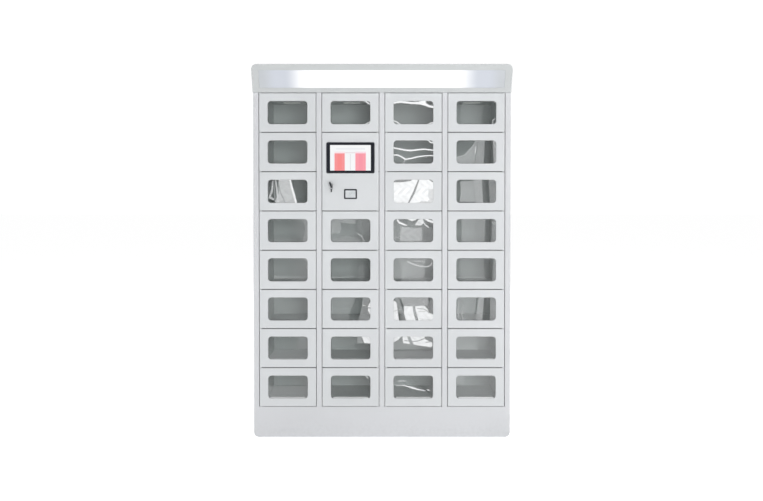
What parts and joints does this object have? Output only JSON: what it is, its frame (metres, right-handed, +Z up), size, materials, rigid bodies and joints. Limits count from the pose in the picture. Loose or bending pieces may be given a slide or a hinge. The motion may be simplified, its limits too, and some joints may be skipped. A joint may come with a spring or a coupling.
{
  "type": "phone charging kiosk",
  "caption": "Free-standing sheet steel charging locker with windowed doors on side hinges, a touchscreen control door, a code scanner and a lit header.",
  "frame": {"origin": "centre of the bounding box at floor level", "axes": "+Z up, front with the doors towards -Y, +X to the right seen from the front"},
  "size_m": [1.308, 0.47, 1.9],
  "materials": {
    "door_paint": "fine textured powder coat, light grey-white",
    "frame_paint": "fine textured powder coat, slightly greyer than the doors",
    "header_paint": "fine textured powder coat",
    "liner_paint": "smooth light grey paint inside the compartments",
    "zinc_steel": "zinc plated",
    "lock_chrome": "satin chrome with a black key head",
    "white_plastic": "matte moulded",
    "black_plastic": "fine textured moulding",
    "screen_glass": "glossy black glass over a lit display",
    "opal_acrylic": "opal, lit from behind",
    "led_tube": "frosted tube",
    "led_bar": "frosted diffuser",
    "foot_rubber": "matte",
    "circuit_board": "solder mask with parts",
    "psu_case": "perforated folded case"
  },
  "bodies": {
    "cabinet": {"front_surround": "frame_paint", "mullions": "frame_paint", "side_panel_left": "frame_paint", "side_panel_right": "frame_paint", "top_panel": "frame_paint", "base_tray": "frame_paint", "back_panel": "frame_paint", "compartment_liners": "liner_paint", "shelf_boxes": "liner_paint", "hinge_brackets": "zinc_steel", "door_locks": "zinc_steel", "charge_outlets": "white_plastic", "led_bars": "led_bar", "header_fascia": "header_paint", "header_light_panel": "opal_acrylic", "header_led_tube": "led_tube", "levelling_feet": "foot_rubber", "controller_box": "black_plastic", "lock_driver_boards": "circuit_board", "power_supplies": "psu_case", "power_inlet": "black_plastic", "panel_screws": "zinc_steel"},
    "locker_door_c1_r1": {"door_c1_r1": "door_paint"},
    "locker_door_c1_r2": {"door_c1_r2": "door_paint"},
    "locker_door_c1_r3": {"door_c1_r3": "door_paint"},
    "locker_door_c1_r4": {"door_c1_r4": "door_paint"},
    "locker_door_c1_r5": {"door_c1_r5": "door_paint"},
    "locker_door_c1_r6": {"door_c1_r6": "door_paint"},
    "locker_door_c1_r7": {"door_c1_r7": "door_paint"},
    "locker_door_c1_r8": {"door_c1_r8": "door_paint"},
    "locker_door_c2_r1": {"door_c2_r1": "door_paint"},
    "locker_door_c2_r4": {"door_c2_r4": "door_paint"},
    "locker_door_c2_r5": {"door_c2_r5": "door_paint"},
    "locker_door_c2_r6": {"door_c2_r6": "door_paint"},
    "locker_door_c2_r7": {"door_c2_r7": "door_paint"},
    "locker_door_c2_r8": {"door_c2_r8": "door_paint"},
    "locker_door_c3_r1": {"door_c3_r1": "door_paint"},
    "locker_door_c3_r2": {"door_c3_r2": "door_paint"},
    "locker_door_c3_r3": {"door_c3_r3": "door_paint"},
    "locker_door_c3_r4": {"door_c3_r4": "door_paint"},
    "locker_door_c3_r5": {"door_c3_r5": "door_paint"},
    "locker_door_c3_r6": {"door_c3_r6": "door_paint"},
    "locker_door_c3_r7": {"door_c3_r7": "door_paint"},
    "locker_door_c3_r8": {"door_c3_r8": "door_paint"},
    "locker_door_c4_r1": {"door_c4_r1": "door_paint"},
    "locker_door_c4_r2": {"door_c4_r2": "door_paint"},
    "locker_door_c4_r3": {"door_c4_r3": "door_paint"},
    "locker_door_c4_r4": {"door_c4_r4": "door_paint"},
    "locker_door_c4_r5": {"door_c4_r5": "door_paint"},
    "locker_door_c4_r6": {"door_c4_r6": "door_paint"},
    "locker_door_c4_r7": {"door_c4_r7": "door_paint"},
    "locker_door_c4_r8": {"door_c4_r8": "door_paint"},
    "control_panel_door": {"control_door": "door_paint", "touchscreen_housing": "black_plastic", "touchscreen_glass": "screen_glass", "barcode_scanner": "black_plastic", "cam_lock_body": "lock_chrome"},
    "lock_cam_and_key": {"cam_lock_key": "lock_chrome"},
    "spare_key_on_ring": {"spare_key": "black_plastic"},
    "rocker": {"power_rocker": "black_plastic"}
  },
  "joints": [
    {"name": "hinge_c1_r1", "type": "hinge", "parent": "cabinet", "child": "locker_door_c1_r1", "pos_m": [-0.617, -0.159, 1.664], "axis": [0, 0, -1], "range_deg": [0, 90]},
    {"name": "hinge_c1_r2", "type": "hinge", "parent": "cabinet", "child": "locker_door_c1_r2", "pos_m": [-0.617, -0.159, 1.464], "axis": [0, 0, -1], "range_deg": [0, 90]},
    {"name": "hinge_c1_r3", "type": "hinge", "parent": "cabinet", "child": "locker_door_c1_r3", "pos_m": [-0.617, -0.159, 1.264], "axis": [0, 0, -1], "range_deg": [0, 90]},
    {"name": "hinge_c1_r4", "type": "hinge", "parent": "cabinet", "child": "locker_door_c1_r4", "pos_m": [-0.617, -0.159, 1.064], "axis": [0, 0, -1], "range_deg": [0, 90]},
    {"name": "hinge_c1_r5", "type": "hinge", "parent": "cabinet", "child": "locker_door_c1_r5", "pos_m": [-0.617, -0.159, 0.864], "axis": [0, 0, -1], "range_deg": [0, 90]},
    {"name": "hinge_c1_r6", "type": "hinge", "parent": "cabinet", "child": "locker_door_c1_r6", "pos_m": [-0.617, -0.159, 0.664], "axis": [0, 0, -1], "range_deg": [0, 90]},
    {"name": "hinge_c1_r7", "type": "hinge", "parent": "cabinet", "child": "locker_door_c1_r7", "pos_m": [-0.617, -0.159, 0.464], "axis": [0, 0, -1], "range_deg": [0, 90]},
    {"name": "hinge_c1_r8", "type": "hinge", "parent": "cabinet", "child": "locker_door_c1_r8", "pos_m": [-0.617, -0.159, 0.264], "axis": [0, 0, -1], "range_deg": [0, 90]},
    {"name": "hinge_c2_r1", "type": "hinge", "parent": "cabinet", "child": "locker_door_c2_r1", "pos_m": [-0.023, -0.159, 1.664], "axis": [0, 0, 1], "range_deg": [0, 90]},
    {"name": "hinge_c2_r4", "type": "hinge", "parent": "cabinet", "child": "locker_door_c2_r4", "pos_m": [-0.023, -0.159, 1.064], "axis": [0, 0, 1], "range_deg": [0, 90]},
    {"name": "hinge_c2_r5", "type": "hinge", "parent": "cabinet", "child": "locker_door_c2_r5", "pos_m": [-0.023, -0.159, 0.864], "axis": [0, 0, 1], "range_deg": [0, 90]},
    {"name": "hinge_c2_r6", "type": "hinge", "parent": "cabinet", "child": "locker_door_c2_r6", "pos_m": [-0.023, -0.159, 0.664], "axis": [0, 0, 1], "range_deg": [0, 90]},
    {"name": "hinge_c2_r7", "type": "hinge", "parent": "cabinet", "child": "locker_door_c2_r7", "pos_m": [-0.023, -0.159, 0.464], "axis": [0, 0, 1], "range_deg": [0, 90]},
    {"name": "hinge_c2_r8", "type": "hinge", "parent": "cabinet", "child": "locker_door_c2_r8", "pos_m": [-0.023, -0.159, 0.264], "axis": [0, 0, 1], "range_deg": [0, 90]},
    {"name": "hinge_c3_r1", "type": "hinge", "parent": "cabinet", "child": "locker_door_c3_r1", "pos_m": [0.023, -0.159, 1.664], "axis": [0, 0, -1], "range_deg": [0, 90]},
    {"name": "hinge_c3_r2", "type": "hinge", "parent": "cabinet", "child": "locker_door_c3_r2", "pos_m": [0.023, -0.159, 1.464], "axis": [0, 0, -1], "range_deg": [0, 90]},
    {"name": "hinge_c3_r3", "type": "hinge", "parent": "cabinet", "child": "locker_door_c3_r3", "pos_m": [0.023, -0.159, 1.264], "axis": [0, 0, -1], "range_deg": [0, 90]},
    {"name": "hinge_c3_r4", "type": "hinge", "parent": "cabinet", "child": "locker_door_c3_r4", "pos_m": [0.023, -0.159, 1.064], "axis": [0, 0, -1], "range_deg": [0, 90]},
    {"name": "hinge_c3_r5", "type": "hinge", "parent": "cabinet", "child": "locker_door_c3_r5", "pos_m": [0.023, -0.159, 0.864], "axis": [0, 0, -1], "range_deg": [0, 90]},
    {"name": "hinge_c3_r6", "type": "hinge", "parent": "cabinet", "child": "locker_door_c3_r6", "pos_m": [0.023, -0.159, 0.664], "axis": [0, 0, -1], "range_deg": [0, 90]},
    {"name": "hinge_c3_r7", "type": "hinge", "parent": "cabinet", "child": "locker_door_c3_r7", "pos_m": [0.023, -0.159, 0.464], "axis": [0, 0, -1], "range_deg": [0, 90]},
    {"name": "hinge_c3_r8", "type": "hinge", "parent": "cabinet", "child": "locker_door_c3_r8", "pos_m": [0.023, -0.159, 0.264], "axis": [0, 0, -1], "range_deg": [0, 90]},
    {"name": "hinge_c4_r1", "type": "hinge", "parent": "cabinet", "child": "locker_door_c4_r1", "pos_m": [0.617, -0.159, 1.664], "axis": [0, 0, 1], "range_deg": [0, 90]},
    {"name": "hinge_c4_r2", "type": "hinge", "parent": "cabinet", "child": "locker_door_c4_r2", "pos_m": [0.617, -0.159, 1.464], "axis": [0, 0, 1], "range_deg": [0, 90]},
    {"name": "hinge_c4_r3", "type": "hinge", "parent": "cabinet", "child": "locker_door_c4_r3", "pos_m": [0.617, -0.159, 1.264], "axis": [0, 0, 1], "range_deg": [0, 90]},
    {"name": "hinge_c4_r4", "type": "hinge", "parent": "cabinet", "child": "locker_door_c4_r4", "pos_m": [0.617, -0.159, 1.064], "axis": [0, 0, 1], "range_deg": [0, 90]},
    {"name": "hinge_c4_r5", "type": "hinge", "parent": "cabinet", "child": "locker_door_c4_r5", "pos_m": [0.617, -0.159, 0.864], "axis": [0, 0, 1], "range_deg": [0, 90]},
    {"name": "hinge_c4_r6", "type": "hinge", "parent": "cabinet", "child": "locker_door_c4_r6", "pos_m": [0.617, -0.159, 0.664], "axis": [0, 0, 1], "range_deg": [0, 90]},
    {"name": "hinge_c4_r7", "type": "hinge", "parent": "cabinet", "child": "locker_door_c4_r7", "pos_m": [0.617, -0.159, 0.464], "axis": [0, 0, 1], "range_deg": [0, 90]},
    {"name": "hinge_c4_r8", "type": "hinge", "parent": "cabinet", "child": "locker_door_c4_r8", "pos_m": [0.617, -0.159, 0.264], "axis": [0, 0, 1], "range_deg": [0, 90]},
    {"name": "hinge_control_door", "type": "hinge", "parent": "cabinet", "child": "control_panel_door", "pos_m": [-0.023, -0.159, 1.364], "axis": [0, 0, 1], "range_deg": [0, 90]},
    {"name": "key_turn", "type": "hinge", "parent": "control_panel_door", "child": "lock_cam_and_key", "pos_m": [-0.258, -0.165, 1.293], "axis": [0, 1, 0], "range_deg": [0, 90]},
    {"name": "spare_key_swing", "type": "hinge", "parent": "lock_cam_and_key", "child": "spare_key_on_ring", "pos_m": [-0.25561, -0.189, 1.28642], "axis": [1, 0, 0], "range_deg": [-30, 10]},
    {"name": "power_switch", "type": "hinge", "parent": "cabinet", "child": "rocker", "pos_m": [0.5, 0.226, 0.106], "axis": [1, 0, 0], "range_deg": [0, 14]}
  ]
}
